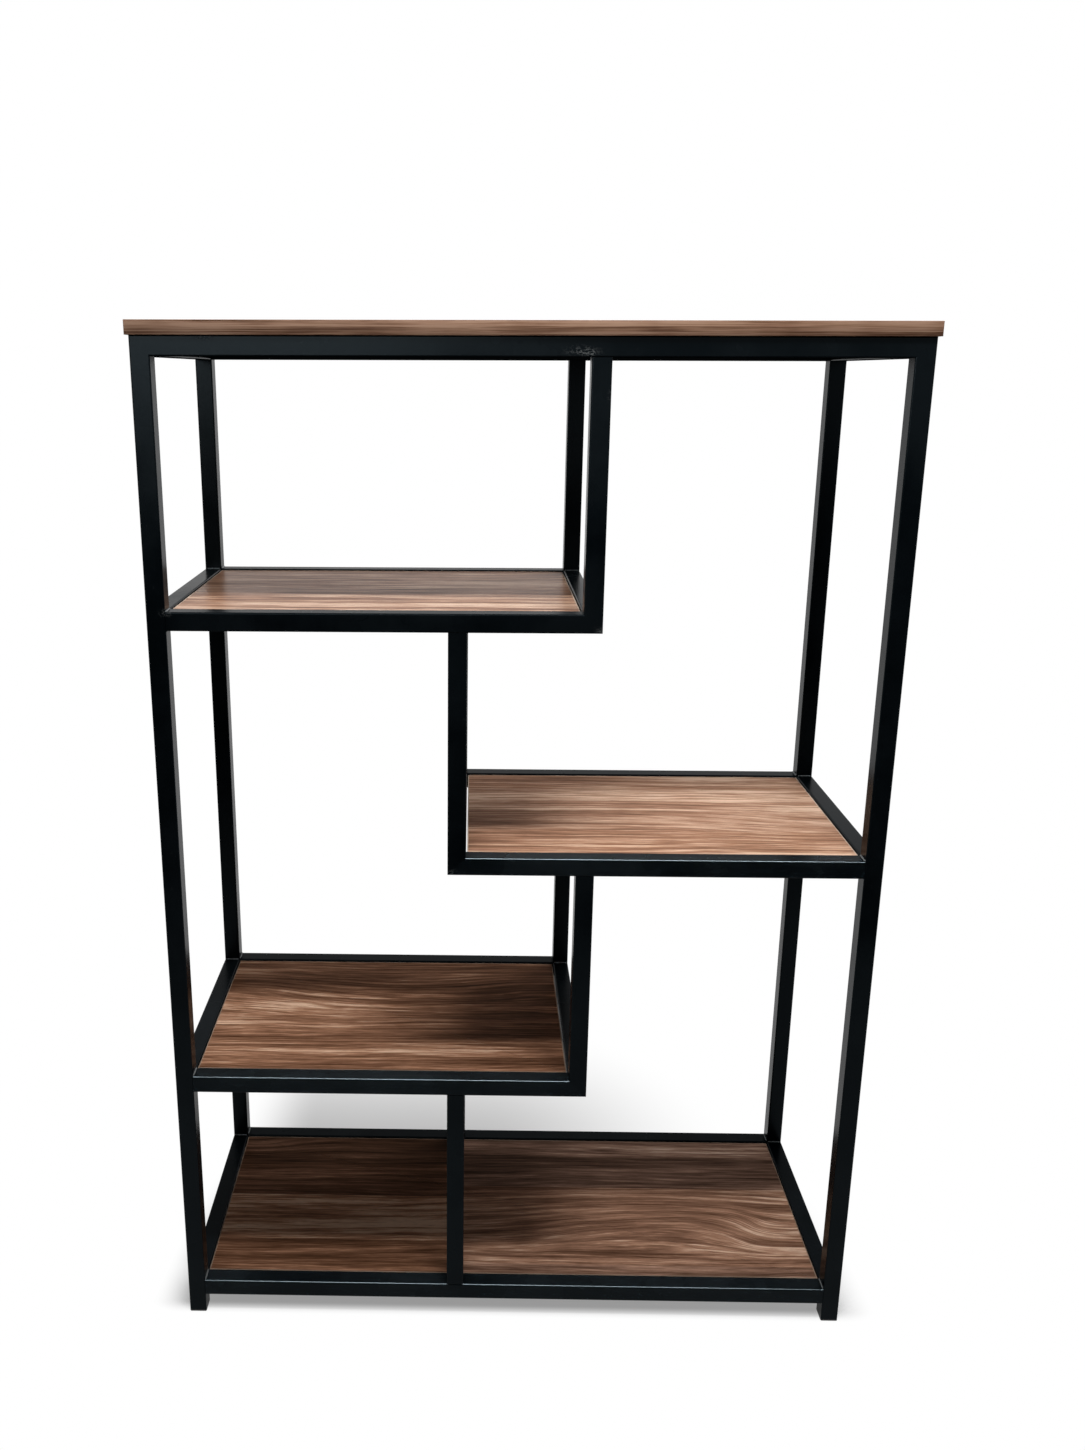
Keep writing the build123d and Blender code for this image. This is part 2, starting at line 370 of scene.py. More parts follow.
# %% Paint
def rough_places(tree, place):
    """One in the middle of each hand-ground weld, and nothing away from them."""
    share = 0.0
    for middle, reach in ROUGH_SPOTS:
        offset = put(tree, "VectorMath", place, middle, operation="SUBTRACT").outputs[0]
        scaled = put(tree, "VectorMath", offset, reach, operation="DIVIDE").outputs[0]
        far = put(tree, "VectorMath", scaled, scaled, operation="DOT_PRODUCT").outputs["Value"]
        share = add(tree, share, maths(tree, "EXPONENT", times(tree, far, -1.0)))
    return share


def black_paint(name, shades, gloss, peel, peel_strength):
    """Satin paint with orange peel, dull patches, rubbed spots and hand-ground welds."""
    material, tree, shader = new_material(name)
    place = object_place(tree)
    patches = stretched_noise(tree, place, *PATCHES)
    rubbed = remap(tree, stretched_noise(tree, place, *RUBS), RUB_RANGE, (0.0, MOST_RUBBED))
    scratches = stretched_noise(tree, place, *SCRATCHES)
    rough_place = rough_places(tree, place)
    off_line = maths(tree, "ABSOLUTE", maths(tree, "SUBTRACT", scratches, 0.5))
    scribble = times(tree, remap(tree, off_line, SCRATCH_WIDTH, (1.0, 0.0)), rough_place)
    colour = blend_colours(tree, rubbed, ramp(tree, patches, shades), RUBBED_GREY)
    colour = blend_colours(tree, scribble, colour, SCRATCHED_GREY)
    tree.links.new(colour, shader.inputs["Base Color"])
    normal = put(tree, "NewGeometry").outputs["True Normal"]
    facing_up = put(tree, "SeparateXYZ", normal).outputs["Z"]
    dry_spray = remap(tree, facing_up, UNDERSIDE, (0.0, DRY_ROUGHNESS))
    worn = times(tree, maths(tree, "MAXIMUM", rubbed, scribble), WORN_ROUGHNESS)
    dull = add(tree, remap(tree, patches, PATCH_RANGE, SATIN_RANGE), dry_spray, worn)
    tree.links.new(dull, shader.inputs["Roughness"])
    dusty = remap(tree, facing_up, TOPSIDE, (gloss, gloss * DUST_LEAVES))
    sheen = remap(tree, facing_up, UNDERSIDE, (dusty, 0.0))
    tree.links.new(sheen, shader.inputs["Specular IOR Level"])
    shader.inputs["Specular Tint"].default_value = (*GLOSS_CAST, 1.0)
    skin = add(tree, stretched_noise(tree, place, *peel),
               times(tree, scratches, rough_place, SCRATCH_HEIGHT))
    link_bump(tree, shader, peel_strength, PEEL_DEPTH, skin)
    return material


paint = black_paint("black_satin_paint", TUBE_BLACKS, TUBE_GLOSS, TUBE_PEEL, TUBE_PEEL_STRENGTH)
weld_paint_and_glint = black_paint("rubbed_weld_paint_and_painted_glint", WELD_GREYS_AND_PAINTED_GLINT, WELD_GLOSS, WELD_PEEL, WELD_PEEL_STRENGTH)
print("paints:", paint.name, weld_paint_and_glint.name)

# %% [markdown]
# ## Plastic of the feet
# The feet are moulded black inserts in the lower ends of the posts. They could share the paint, but moulded
# plastic has a fine, even grain instead of patches and peel. So they get a small recipe of their own, in
# which one noise drives colour, roughness and bump.

# %% Plastic of the feet
FOOT_GRAIN = ((1500.0, 1500.0, 1500.0), 2.0, 0.55)
FOOT_BLACKS = [(0.35, (0.006, 0.0065, 0.007)), (0.65, (0.010, 0.0105, 0.011))]
FOOT_GRAIN_RANGE, FOOT_ROUGHNESS = (0.3, 0.7), (0.5, 0.62)
FOOT_GLOSS, FOOT_BUMP, FOOT_BUMP_DEPTH = 0.3, 0.2, 0.0002


def foot_plastic():
    """Moulded black plastic with a fine grain."""
    material, tree, shader = new_material("foot_plastic")
    grain = stretched_noise(tree, object_place(tree), *FOOT_GRAIN)
    tree.links.new(ramp(tree, grain, FOOT_BLACKS), shader.inputs["Base Color"])
    rough = remap(tree, grain, FOOT_GRAIN_RANGE, FOOT_ROUGHNESS)
    tree.links.new(rough, shader.inputs["Roughness"])
    shader.inputs["Specular IOR Level"].default_value = FOOT_GLOSS
    link_bump(tree, shader, FOOT_BUMP, FOOT_BUMP_DEPTH, grain)
    return material


plastic = foot_plastic()
print("plastic:", plastic.name)

# %% [markdown]
# ## Walnut decor
# Each board shows a few planks side by side, with grain along its length. A plank's grain is the cut
# through a tree's rings, so tone is kept along lines that run with the board and wander a little: the place
# across the board is first pushed about by slow noise, and noise stretched along that pushed place gives
# broad streaks, fine lines and fibres. Where the saw came near a branch or the heart, the lines bow aside
# in a flame, which is a smooth hill in that push, low enough that lines never fold over. The layers
# multiply the plank's own tone, so that pale and dark planks get the same share of contrast. Other hills
# darken or lighten whole places: partly the wood's own tone, and partly painted shade where the shelves
# above throw shadow. A ramp turns the tone into a colour, redder where it is dark.

# %% Values of the walnut
WALNUT_TONES = [(0.000, (0.000, 0.0000, 0.0000)), (0.030, (0.030, 0.0120, 0.0050)),
                (0.100, (0.100, 0.0445, 0.0225)), (0.220, (0.220, 0.1060, 0.0610)),
                (0.420, (0.420, 0.2160, 0.1270)), (0.750, (0.750, 0.5100, 0.3600))]
PORE_BROWN = (0.030, 0.014, 0.008)
COOL_SATURATION = 0.72
FIRST_COLUMN, OTHER_COLUMNS, PLANK_STEP, PLANK_APART = 0.11, 0.53, 0.37, 3.0
SLOW_WANDER, SLOW_PUSH = ((2.0, 7.0, 7.0), 2.0, 0.5), 0.030
QUICK_WANDER, QUICK_PUSH = ((9.0, 40.0, 40.0), 2.0, 0.5), 0.005
STREAKS, STREAK_WEIGHT = ((2.4, 42.0, 1.0), 4.0, 0.60), 2.7
LINES, LINE_WEIGHT = ((5.0, 160.0, 1.0), 4.0, 0.65), 2.7
FIBRES, FIBRE_WEIGHT = ((20.0, 700.0, 1.0), 3.0, 0.65), 2.3
CLOUDS, CLOUD_WEIGHT = ((2.4, 20.0, 20.0), 3.0, 0.55), 1.6
RINGS, RING_SHIFT = ((1.6, 60.0, 1.0), 2.0, 0.5), 7.0
RING_WIDTH, LATE_TO_EARLY_WOOD = (0.0, 0.035), (-0.45, 0.06)
PORES, PORE_RANGE, MOST_PORE = ((60.0, 1500.0, 1500.0), 2.0, 0.5), (0.60, 0.70), 0.4
QUICK_SEED, CLOUD_SEED, PORE_SEED = 3.0, 5.0, 7.0
GRAIN_RANGE, WALNUT_ROUGHNESS = (-0.6, 0.6), (0.34, 0.26)
FIBRE_HEIGHT, WALNUT_BUMP, WALNUT_BUMP_DEPTH = 0.5, 0.10, 0.0003
print("walnut tones", len(WALNUT_TONES))


# %% Walnut material
def plank_steps(tree, share, planks, first_place):
    """Tone, warmth and noise place of the planks, which start at given shares of the board's depth."""
    stops = [(start, (tone, warmth, (i * PLANK_STEP + first_place) % 1.0))
             for i, (start, tone, warmth) in enumerate(planks)]
    return ramp(tree, share, stops + [(1.0, stops[-1][1])], "CONSTANT")


def hill(tree, along, across, shape):
    """A smooth hill on the board, with its own reach to the left, to the right and across."""
    (x, y), reaches_x, reach_y, height = shape
    from_x, from_y = maths(tree, "SUBTRACT", along, x), maths(tree, "SUBTRACT", across, y)
    right = maths(tree, "GREATER_THAN", from_x, 0.0)
    reach_x = remap(tree, right, OFF_TO_ON, reaches_x)
    far_x = maths(tree, "POWER", maths(tree, "DIVIDE", from_x, reach_x), 2.0)
    far_y = maths(tree, "POWER", maths(tree, "DIVIDE", from_y, reach_y), 2.0)
    far = add(tree, far_x, far_y)
    return times(tree, maths(tree, "EXPONENT", times(tree, far, -1.0)), height)


def off_middle(tree, noise, weight):
    """A noise about zero instead of a half, times a weight."""
    return times(tree, maths(tree, "SUBTRACT", noise, 0.5), weight)


def walnut(name, node, columns, seed, figure, gloss, flames=(), tone_and_painted_shade_hills=()):
    """Planked walnut for a node: each column of planks starts at a place along the board."""
    material, tree, shader = new_material(name)
    low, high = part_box(node)
    middle = tuple((low + high) / 2)
    half_depth = (high.y - low.y) / 2
    offset = put(tree, "VectorMath", object_place(tree), middle, operation="SUBTRACT").outputs[0]
    along, across, _ = put(tree, "SeparateXYZ", offset).outputs
    share = remap(tree, across, (-half_depth, half_depth), (0.0, 1.0))
    steps = plank_steps(tree, share, columns[0][1], FIRST_COLUMN)
    for start, planks in columns[1:]:
        past = maths(tree, "GREATER_THAN", along, start)
        steps = blend_colours(tree, past, steps, plank_steps(tree, share, planks, OTHER_COLUMNS))
    tone, warmth, plank_place = put(tree, "SeparateColor", steps).outputs

    slow = stretched_noise(tree, offset, *SLOW_WANDER, seed)
    quick = stretched_noise(tree, offset, *QUICK_WANDER, seed + QUICK_SEED)
    push = add(tree, times(tree, slow, SLOW_PUSH), times(tree, quick, QUICK_PUSH))
    push = add(tree, push, *(hill(tree, along, across, flame) for flame in flames))
    ring = add(tree, across, push, times(tree, plank_place, PLANK_APART))
    cut = put(tree, "CombineXYZ", along, ring, seed).outputs[0]

    fibres = stretched_noise(tree, cut, *FIBRES)
    clouds = stretched_noise(tree, offset, *CLOUDS, seed + CLOUD_SEED)
    rings = stretched_noise(tree, cut, *RINGS, RING_SHIFT)
    off_ring = maths(tree, "ABSOLUTE", maths(tree, "SUBTRACT", rings, 0.5))
    grain = add(tree, remap(tree, off_ring, RING_WIDTH, LATE_TO_EARLY_WOOD),
                off_middle(tree, stretched_noise(tree, cut, *STREAKS), STREAK_WEIGHT),
                off_middle(tree, stretched_noise(tree, cut, *LINES), LINE_WEIGHT),
                off_middle(tree, fibres, FIBRE_WEIGHT), off_middle(tree, clouds, CLOUD_WEIGHT))
    # The hills add the wood's own tone and painted shade from the shelves above.
    grain = add(tree, times(tree, grain, figure), *(hill(tree, along, across, tone_and_painted_shade_hill) for tone_and_painted_shade_hill in tone_and_painted_shade_hills))

    colour = ramp(tree, times(tree, tone, maths(tree, "EXPONENT", grain)), WALNUT_TONES)
    cool = put(tree, "HueSaturation", 0.5, COOL_SATURATION, 1.0, 1.0, colour).outputs[0]
    colour = blend_colours(tree, warmth, cool, colour)
    pores = stretched_noise(tree, offset, *PORES, seed + PORE_SEED)
    pore_share = remap(tree, pores, PORE_RANGE, (0.0, MOST_PORE))
    colour = blend_colours(tree, pore_share, colour, PORE_BROWN)
    tree.links.new(colour, shader.inputs["Base Color"])
    rough = remap(tree, grain, GRAIN_RANGE, WALNUT_ROUGHNESS)
    tree.links.new(rough, shader.inputs["Roughness"])
    shader.inputs["Specular IOR Level"].default_value = gloss
    height = maths(tree, "SUBTRACT", times(tree, fibres, FIBRE_HEIGHT), pore_share)
    link_bump(tree, shader, WALNUT_BUMP, WALNUT_BUMP_DEPTH, height)
    return material


print("walnut ready")

# %% [markdown]
# ## Edge bands and edging
# A glued band covers each board's edge, and strips of edging go round the top board. They are too narrow
# to show planks or flames, so streaks are enough. The noise is drawn out along X and Y alike and is tight
# only in height, so that one recipe suits strips that lie either way.

# %% Edge bands and edging strip
STRIP_STREAKS = ((2.0, 2.0, 240.0), 5.0, 0.65)
STRIP_FIBRES = ((14.0, 14.0, 900.0), 3.0, 0.6)
STRIP_CLOUDS = ((9.0, 9.0, 30.0), 3.0, 0.5)
STREAK_SHARE, FIBRE_SHARE, CLOUD_SHARE = 0.5, 0.25, 0.25
DARK_UP_TO, MID_AT, LIGHT_FROM = 0.43, 0.50, 0.57
STRIP_RANGE, STRIP_ROUGHNESS = (0.3, 0.7), (0.45, 0.32)
STRIP_GLOSS, STRIP_BUMP, STRIP_BUMP_DEPTH = 0.022, 0.12, 0.0003


def strip_of_walnut(name, dark, mid, light):
    """Thin strip with streaks along its length, whichever way it lies."""
    material, tree, shader = new_material(name)
    place = object_place(tree)
    fibres = stretched_noise(tree, place, *STRIP_FIBRES)
    grain = add(tree, times(tree, stretched_noise(tree, place, *STRIP_STREAKS), STREAK_SHARE),
                times(tree, fibres, FIBRE_SHARE),
                times(tree, stretched_noise(tree, place, *STRIP_CLOUDS), CLOUD_SHARE))
    colour = ramp(tree, grain, [(DARK_UP_TO, dark), (MID_AT, mid), (LIGHT_FROM, light)])
    tree.links.new(colour, shader.inputs["Base Color"])
    rough = remap(tree, grain, STRIP_RANGE, STRIP_ROUGHNESS)
    tree.links.new(rough, shader.inputs["Roughness"])
    shader.inputs["Specular IOR Level"].default_value = STRIP_GLOSS
    link_bump(tree, shader, STRIP_BUMP, STRIP_BUMP_DEPTH, fibres)
    return material


# The pale band's colour is partly a painted highlight along the board's eased rim.
pale_band_and_painted_highlight = strip_of_walnut("pale_edge_band_and_painted_highlight", (0.50, 0.39, 0.30), (0.62, 0.50, 0.40), (0.74, 0.62, 0.51))
brown_band = strip_of_walnut("brown_edge_band", (0.22, 0.150, 0.106), (0.29, 0.205, 0.150),
                             (0.37, 0.275, 0.210))
edging = strip_of_walnut("walnut_edging", (0.105, 0.050, 0.030), (0.250, 0.138, 0.087),
                         (0.380, 0.236, 0.162))
print("strips:", pale_band_and_painted_highlight.name, brown_band.name, edging.name)

# %% [markdown]
# ## Paint the CAD nodes
# The tubes, tabs and feet are right as they come from the CAD model, so they only change their material.
# The three lower front rails are also linked to the strip lamp that brightens their edge.

# %% Give each CAD node its finish
BRIGHT_EDGED_TIERS = ("middle", "lower", "base")

slot_finish = {"black_paint": paint, "foot_plastic": plastic}
for part in frame["record"]["subparts"]:
    node = frame["nodes"][part["node"]]
    finish = slot_finish.get(part["material_slot"])
    if finish:
        node.data.materials.clear()
        node.data.materials.append(finish)
for tier in BRIGHT_EDGED_TIERS:
    bright_edged.objects.link(frame["nodes"][f"front_{tier}_rail"])

# %% [markdown]
# ## Boards
# A real board has its sharp edges taken off, and a thin glued band shows as a line round its face, pale on
# the two upper shelves and browner on the other boards. The pale band is partly a painted highlight on the
# eased rim. Each board starts as a cube at the size of its CAD node. Its upright corners and its rims are
# bevelled, and its two faces are inset by the thickness of the band, so that the band's rim gets its own
# material.

# %% Board helpers
CORNER_ROUND = 0.0012
ARRIS_ROUND = 0.0007
ROUND_SEGMENTS = 3
BAND_RIM = 0.0010
DECOR, BAND = 0, 1
SAME_WAY = 0.99
SMOOTH_BELOW = math.radians(30)


def start_cube(name, low, high):
    """A cube between two corners, with its place in its mesh."""
    bpy.ops.object.select_all(action="DESELECT")
    bpy.ops.mesh.primitive_cube_add(size=1.0, location=(low + high) / 2, scale=high - low)
    piece = bpy.context.object
    piece.name = piece.data.name = name
    bpy.ops.object.transform_apply(location=True, rotation=True, scale=True)
    return piece


def select_edges(piece, test):
    """In edit mode, select the edges that pass a test and nothing else."""
    bpy.ops.mesh.select_mode(type="EDGE")
    bpy.ops.mesh.select_all(action="DESELECT")
    mesh = bmesh.from_edit_mesh(piece.data)
    for edge in mesh.edges:
        edge.select_set(test(edge))
    mesh.select_flush_mode()
    bmesh.update_edit_mesh(piece.data)


def select_faces(piece, test):
    """In edit mode, select the faces that pass a test and nothing else."""
    bpy.ops.mesh.select_mode(type="FACE")
    bpy.ops.mesh.select_all(action="DESELECT")
    mesh = bmesh.from_edit_mesh(piece.data)
    mesh.normal_update()
    for face in mesh.faces:
        face.select_set(test(face))
    bmesh.update_edit_mesh(piece.data)


def is_upright(edge):
    """True for an edge along Z."""
    return abs((edge.verts[0].co - edge.verts[1].co).normalized().z) > SAME_WAY


def lies_flat(face):
    """True for a face that looks straight up or down."""
    return abs(face.normal.z) > SAME_WAY


def make_board(name, node, decor, band):
    """Board with rounded corners, eased rims and a band round its faces, in place of its CAD node."""
    low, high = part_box(node)
    piece = start_cube(name, low, high)
    piece.data.materials.append(decor)
    piece.data.materials.append(band)
    bpy.ops.object.mode_set(mode="EDIT")
    select_edges(piece, is_upright)
    bpy.ops.mesh.bevel(offset=CORNER_ROUND, segments=ROUND_SEGMENTS)
    select_edges(piece, lambda edge: any(map(lies_flat, edge.link_faces)) and not is_upright(edge))
    bpy.ops.mesh.bevel(offset=ARRIS_ROUND, segments=ROUND_SEGMENTS)
    select_faces(piece, lies_flat)
    bpy.ops.mesh.inset(thickness=BAND_RIM)
    mesh = bmesh.from_edit_mesh(piece.data)
    largest = {face.index for face in sorted(mesh.faces, key=lambda face: face.calc_area())[-2:]}
    for face in mesh.faces:
        face.material_index = DECOR if face.index in largest else BAND
    bpy.ops.object.mode_set(mode="OBJECT")
    bpy.ops.object.shade_smooth_by_angle(angle=SMOOTH_BELOW)
    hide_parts(node)
    print(name, "faces", len(piece.data.polygons))
    return piece


print("board helpers ready")

# %% Boards in their frames
# A column starts at a place along the board. Its planks each have a start across the depth, a tone and a
# warmth. Some tones are partly painted light and shade: darker where the shelves above shade a plank, and
# lighter where light falls on it. A flame, or a hill of tone and painted shade, has its middle, its reach
# to the left and right, its reach across and its height.
BOARD_DECOR = {
    "upper": dict(seed=2.0, figure=1.3, gloss=0.022, columns=[
        (-1.0, [(0.0, 0.50, 0.8), (0.17, 0.34, 0.9), (0.32, 0.26, 0.9), (0.50, 0.38, 0.9),
                (0.72, 0.34, 0.9)])]),
    "middle": dict(seed=11.0, figure=0.95, gloss=0.006, columns=[
        (-1.0, [(0.0, 0.43, 0.9), (0.26, 0.39, 0.8), (0.64, 0.57, 0.8), (0.80, 0.50, 0.9)])],
        flames=[((0.27, -0.055), (0.16, 0.10), 0.06, 0.032), ((-0.05, -0.02), (0.20, 0.20), 0.06, -0.012)],
        tone_and_painted_shade_hills=[((-0.20, 0.13), (0.20, 0.14), 0.07, -0.45), ((-0.20, -0.12), (0.20, 0.12), 0.06, -0.25)]),
    "lower": dict(seed=23.0, figure=1.3, gloss=0.006, columns=[
        (-1.0, [(0.0, 0.28, 1.0), (0.11, 0.35, 1.0), (0.257, 0.33, 1.0), (0.436, 0.30, 1.0),
                (0.67, 0.22, 1.0), (0.88, 0.26, 1.0)])],
        flames=[((-0.27, 0.075), (0.15, 0.17), 0.07, -0.035), ((0.27, 0.10), (0.20, 0.10), 0.06, -0.035)],
        tone_and_painted_shade_hills=[((0.22, 0.0), (0.20, 0.50), 0.50, -0.38), ((0.26, 0.02), (0.18, 0.30), 0.05, -0.50),
               ((0.26, -0.15), (0.16, 0.30), 0.05, -0.40), ((-0.27, 0.0), (0.10, 0.12), 0.03, -0.25)]),
    "base": dict(seed=31.0, figure=1.15, gloss=0.006, columns=[
        (-1.0, [(0.0, 0.17, 1.0), (0.21, 0.45, 1.0), (0.53, 0.15, 0.9), (0.78, 0.09, 0.8)]),
        (-0.08, [(0.0, 0.19, 0.5), (0.065, 0.30, 0.75), (0.61, 0.18, 0.35), (0.87, 0.32, 0.35)])],
        flames=[((0.27, -0.050), (0.24, 0.20), 0.06, -0.042), ((0.42, -0.060), (0.05, 0.10), 0.04, 0.026),
                ((-0.45, 0.14), (0.10, 0.09), 0.03, 0.015)],
        tone_and_painted_shade_hills=[((-0.02, 0.12), (0.20, 0.16), 0.08, -0.80), ((0.38, -0.10), (0.20, 0.30), 0.04, 0.25),
               ((-0.45, 0.15), (0.10, 0.09), 0.02, 0.50)]),
    "top": dict(seed=47.0, figure=0.65, gloss=0.006, columns=[
        (-1.0, [(0.0, 0.22, 0.9), (0.22, 0.19, 0.8), (0.48, 0.23, 1.0), (0.79, 0.20, 0.9)])]),
}
PALE_BANDED = ("upper", "middle")

for tier, decor_settings in BOARD_DECOR.items():
    node = f"{tier}_board"
    decor = walnut(f"walnut_{tier}", node, **decor_settings)
    band = pale_band_and_painted_highlight if tier in PALE_BANDED else brown_band
    board = make_board(f"{tier}_walnut_board", node, decor, band)
    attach(board, "frame" if tier == "top" else node)

# %% [markdown]
# ## Edging of the top board
# The top board's edge is covered by a thin strip of the same decor, long ones in front and behind, short
# ones between them at the ends. One long and one short strip are modelled with their outer edges eased, and
# each is copied to the other side by half a turn.

# %% Edging strips
EDGING_ROUND, EDGING_SEGMENTS = 0.0004, 2
MIDDLE = (0.0, 0.0, 0.0)
NO_TURN, HALF_TURN = (0.0, 0.0, 0.0), (0.0, 0.0, math.pi)


def copy_to(piece, place, turn):
    """A copy of a piece with its own mesh, moved and turned."""
    bpy.ops.object.select_all(action="DESELECT")
    piece.select_set(True)
    bpy.context.view_layer.objects.active = piece
    bpy.ops.object.duplicate()
    copy = bpy.context.object
    copy.location, copy.rotation_euler = place, turn
    bpy.ops.object.transform_apply(location=True, rotation=True, scale=True)
    return copy


def join(pieces, name):
    """One piece out of many, under one name."""
    bpy.ops.object.select_all(action="DESELECT")
    for piece in pieces:
        piece.select_set(True)
    bpy.context.view_layer.objects.active = pieces[0]
    bpy.ops.object.join()
    whole = bpy.context.object
    whole.name = whole.data.name = name
    return whole


def edging_strip(name, low, high, outwards):
    """A strip with the edges of its outer face eased."""
    piece = start_cube(name, low, high)
    bpy.ops.object.mode_set(mode="EDIT")
    select_edges(piece, lambda edge: any(face.normal.dot(outwards) > SAME_WAY for face in edge.link_faces))
    bpy.ops.mesh.bevel(offset=EDGING_ROUND, segments=EDGING_SEGMENTS)
    bpy.ops.object.mode_set(mode="OBJECT")
    return piece


low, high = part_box("top_board_edging")
board_low, board_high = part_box("top_board")
front = edging_strip("front_edging", low, Vector((high.x, board_low.y, high.z)), Vector((0, -1, 0)))
left = edging_strip("left_edging", Vector((low.x, board_low.y, low.z)),
                    Vector((board_low.x, board_high.y, high.z)), Vector((-1, 0, 0)))
strips = [front, left, copy_to(front, MIDDLE, HALF_TURN), copy_to(left, MIDDLE, HALF_TURN)]
top_edging = join(strips, "top_walnut_edging")
top_edging.data.materials.append(edging)
bpy.ops.object.shade_smooth_by_angle(angle=SMOOTH_BELOW)
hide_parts("top_board_edging")
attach(top_edging, "frame")
print("edging faces", len(top_edging.data.polygons))

# %% [markdown]
# ## Welds
# Where a rail butts against an upright, the joint was welded and painted over. Most of it was ground flat,
# but the inside corners of the shelf frames keep a thin bead, which shows as a pale line across the rail's
# top: its grey is partly rubbed paint and partly a painted glint. One bead is a cylinder cut into short
# rings, roughened by a Displace modifier, and copied to each inside corner. Its place comes from the boxes
# of the CAD nodes.

# %% One weld bead
BEAD_RADIUS = 0.0015
BEAD_LENGTH = 0.0212
BEAD_SIDES = 12
BEAD_CUTS = 24
BEAD_END_ROUND, BEAD_END_SEGMENTS = BEAD_RADIUS * 0.45, 2
RIPPLE_SIZE, RIPPLE_HEIGHT = 0.0035, BEAD_RADIUS * 0.7
TINY = 1e-5

bpy.ops.object.select_all(action="DESELECT")
bpy.ops.mesh.primitive_cylinder_add(vertices=BEAD_SIDES, radius=BEAD_RADIUS, depth=BEAD_LENGTH,
                                    rotation=(0.0, math.pi / 2, 0.0))
bead = bpy.context.object
bpy.ops.object.transform_apply(location=True, rotation=True, scale=True)
bpy.ops.object.mode_set(mode="EDIT")
select_edges(bead, lambda edge: abs(edge.verts[0].co.x - edge.verts[1].co.x) > BEAD_LENGTH / 2)
bpy.ops.mesh.subdivide(number_cuts=BEAD_CUTS)
select_edges(bead, lambda edge: all(abs(vert.co.x) > BEAD_LENGTH / 2 - TINY for vert in edge.verts))
bpy.ops.mesh.bevel(offset=BEAD_END_ROUND, segments=BEAD_END_SEGMENTS)
bpy.ops.object.mode_set(mode="OBJECT")
ripple = bpy.data.textures.new("bead_ripple", "CLOUDS")
ripple.noise_scale = RIPPLE_SIZE
modifier = bead.modifiers.new("ripple", "DISPLACE")
modifier.texture = ripple
modifier.texture_coords = "LOCAL"
modifier.strength = RIPPLE_HEIGHT
bpy.ops.object.modifier_apply(modifier="ripple")
bpy.ops.object.shade_smooth()
print("bead faces", len(bead.data.polygons))

# %% Beads in the inside corners
QUARTER_TURN = (0.0, 0.0, math.pi / 2)
# The sides on which a tier's rails end at a post; on the other side they turn into a divider.
POST_SIDES = {"upper": ("left",), "middle": ("right",), "lower": ("left",), "base": ("left", "right")}

bead_places = []
for tier, post_sides in POST_SIDES.items():
    for side in ("left", "right"):
        low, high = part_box(f"{side}_{tier}_rail")
        middle_x = (low.x + high.x) / 2
        for y in (low.y, high.y):
            bead_places.append(((middle_x, y, high.z), NO_TURN))
            if side in post_sides:
                bead_places.append(((middle_x, y, low.z), NO_TURN))
    for plane in ("front", "rear"):
        low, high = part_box(f"{plane}_{tier}_rail")
        middle_y = (low.y + high.y) / 2
        for side in post_sides:
            x = low.x if side == "left" else high.x
            bead_places.append(((x, middle_y, high.z), QUARTER_TURN))
            bead_places.append(((x, middle_y, low.z), QUARTER_TURN))

beads = [copy_to(bead, place, turn) for place, turn in bead_places]
bpy.data.objects.remove(bead)
welds = join(beads, "weld_beads")
welds.data.materials.append(weld_paint_and_glint)
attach(welds, "frame")
print("beads", len(bead_places), "faces", len(welds.data.polygons))

# %% [markdown]
# ## Screws under the top board
# Six pan-head screws hold the top board from below. Only their heads show, from a low angle: a short drum
# with a bevelled rim and a cross recess for the driver. The recess is cut by a Boolean modifier with a
# cross of two bars, and the finished screw is copied to the tabs, each copy turned a little further.

# %% Zinc finish
ZINC_BLOTCH = ((400.0, 400.0, 400.0), 4.0, 0.55)
ZINC_TONES = [(0.3, (0.42, 0.43, 0.44)), (0.7, (0.60, 0.61, 0.60))]
ZINC_RANGE, ZINC_ROUGHNESS = (0.3, 0.7), (0.28, 0.44)
ZINC_BUMP, ZINC_BUMP_DEPTH = 0.15, 0.0001


def zinc():
    """Dull zinc plating with faint blotches."""
    material, tree, shader = new_material("zinc_plate")
    blotch = stretched_noise(tree, object_place(tree), *ZINC_BLOTCH)
    tree.links.new(ramp(tree, blotch, ZINC_TONES), shader.inputs["Base Color"])
    tree.links.new(remap(tree, blotch, ZINC_RANGE, ZINC_ROUGHNESS), shader.inputs["Roughness"])
    shader.inputs["Metallic"].default_value = 1.0
    link_bump(tree, shader, ZINC_BUMP, ZINC_BUMP_DEPTH, blotch)
    return material


zinc_plate = zinc()
print("finish:", zinc_plate.name)

# %% One screw
HEAD_RADIUS, HEAD_HEIGHT, HEAD_SIDES = 0.004, 0.0026, 24
HEAD_ROUND, HEAD_SEGMENTS = HEAD_HEIGHT * 0.55, 4
SHANK_RADIUS, TIP_SHRINK = 0.002, 0.1
RECESS = Vector((0.0046, 0.0011, 0.0030))

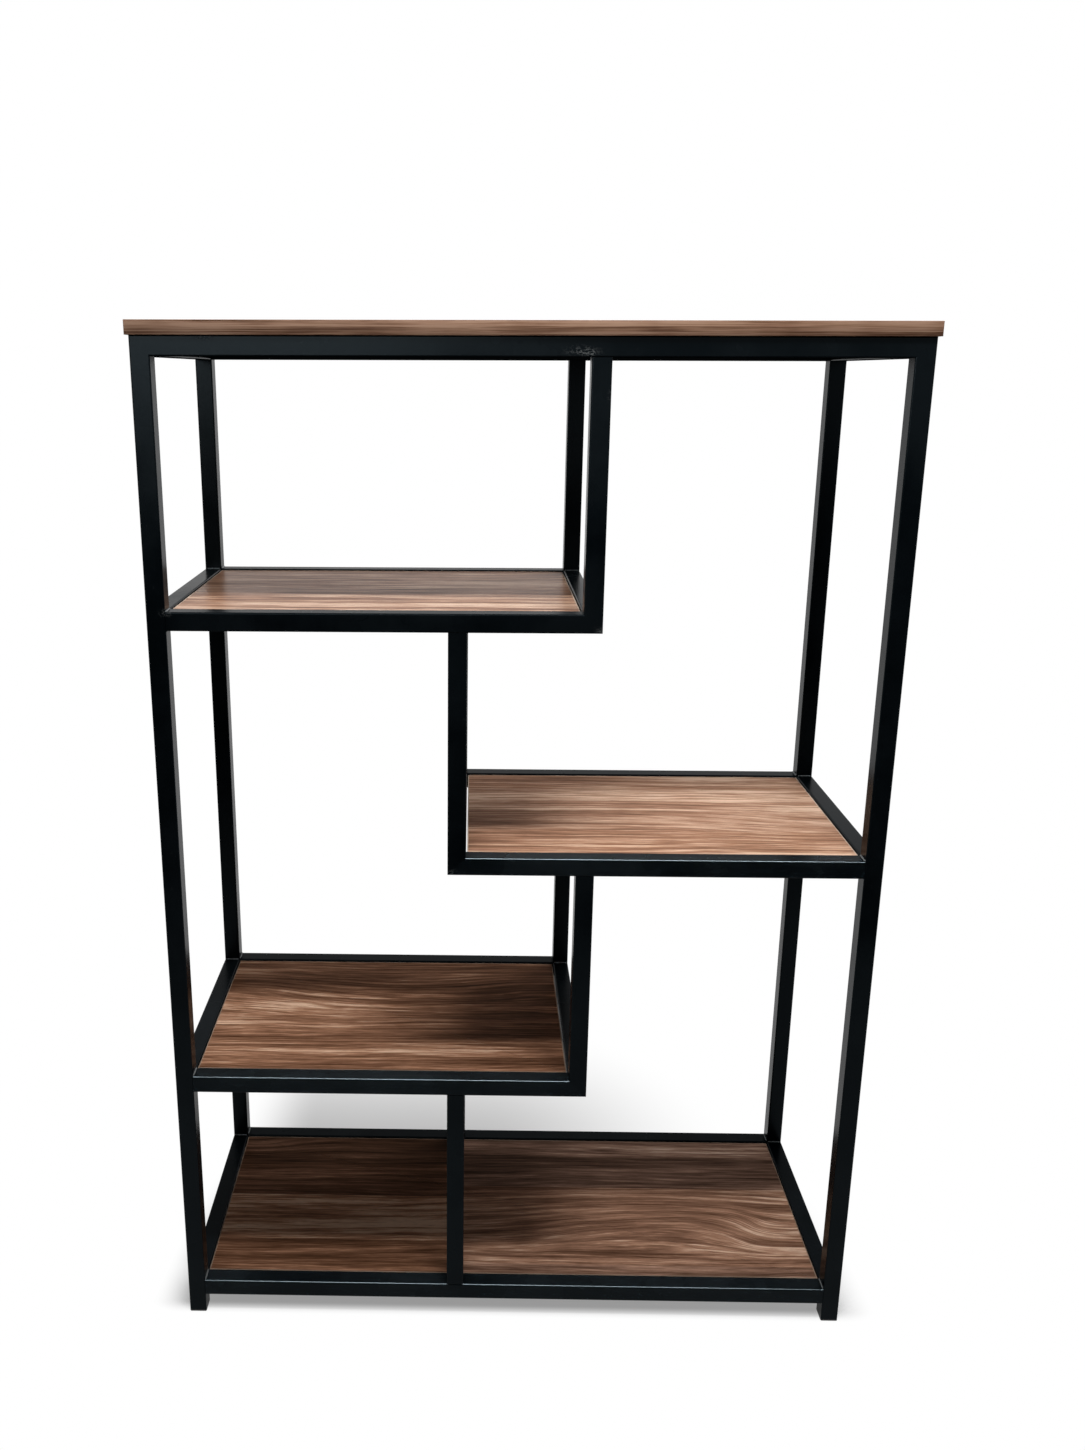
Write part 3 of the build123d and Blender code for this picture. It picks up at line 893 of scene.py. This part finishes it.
low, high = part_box("top_board_screws")
crown, tip = low.z, high.z
bpy.ops.object.select_all(action="DESELECT")
bpy.ops.mesh.primitive_cylinder_add(vertices=HEAD_SIDES, radius=HEAD_RADIUS, depth=HEAD_HEIGHT,
                                    location=(0, 0, crown + HEAD_HEIGHT / 2))
screw = bpy.context.object
bpy.ops.object.transform_apply(location=True, rotation=True, scale=True)
bpy.ops.object.mode_set(mode="EDIT")
select_edges(screw, lambda edge: all(vert.co.z < crown + TINY for vert in edge.verts))
bpy.ops.mesh.bevel(offset=HEAD_ROUND, segments=HEAD_SEGMENTS)
select_faces(screw, lambda face: face.normal.z > SAME_WAY)
bpy.ops.mesh.inset(thickness=HEAD_RADIUS - SHANK_RADIUS)
shank_length = tip - crown - HEAD_HEIGHT - SHANK_RADIUS
for rise in (shank_length, SHANK_RADIUS):
    bpy.ops.mesh.extrude_region_move(TRANSFORM_OT_translate={"value": (0, 0, rise)})
bpy.ops.transform.resize(value=(TIP_SHRINK, TIP_SHRINK, 1.0))
bpy.ops.object.mode_set(mode="OBJECT")

crown_middle = Vector((0, 0, crown))
bar = start_cube("recess_bar", crown_middle - RECESS / 2, crown_middle + RECESS / 2)
cross = join([bar, copy_to(bar, MIDDLE, QUARTER_TURN)], "recess_cross")
bpy.ops.object.select_all(action="DESELECT")
screw.select_set(True)
bpy.context.view_layer.objects.active = screw
modifier = screw.modifiers.new("recess", "BOOLEAN")
modifier.operation = "DIFFERENCE"
modifier.object = cross
modifier.use_self = True
bpy.ops.object.modifier_apply(modifier="recess")
bpy.data.objects.remove(cross)
bpy.ops.object.shade_smooth_by_angle(angle=SMOOTH_BELOW)
print("screw faces", len(screw.data.polygons))

# %% Screws in their tabs
SCREW_TURN = 0.4

columns = (low.x + HEAD_RADIUS, 0.0, high.x - HEAD_RADIUS)
rows = (low.y + HEAD_RADIUS, high.y - HEAD_RADIUS)
spots = [(x, y, 0.0) for x in columns for y in rows]
screws = [copy_to(screw, spot, (0.0, 0.0, SCREW_TURN * i)) for i, spot in enumerate(spots)]
bpy.data.objects.remove(screw)
top_screws = join(screws, "top_board_pan_screws")
top_screws.data.materials.append(zinc_plate)
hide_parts("top_board_screws")
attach(top_screws, "frame")
print("screws", len(screws))
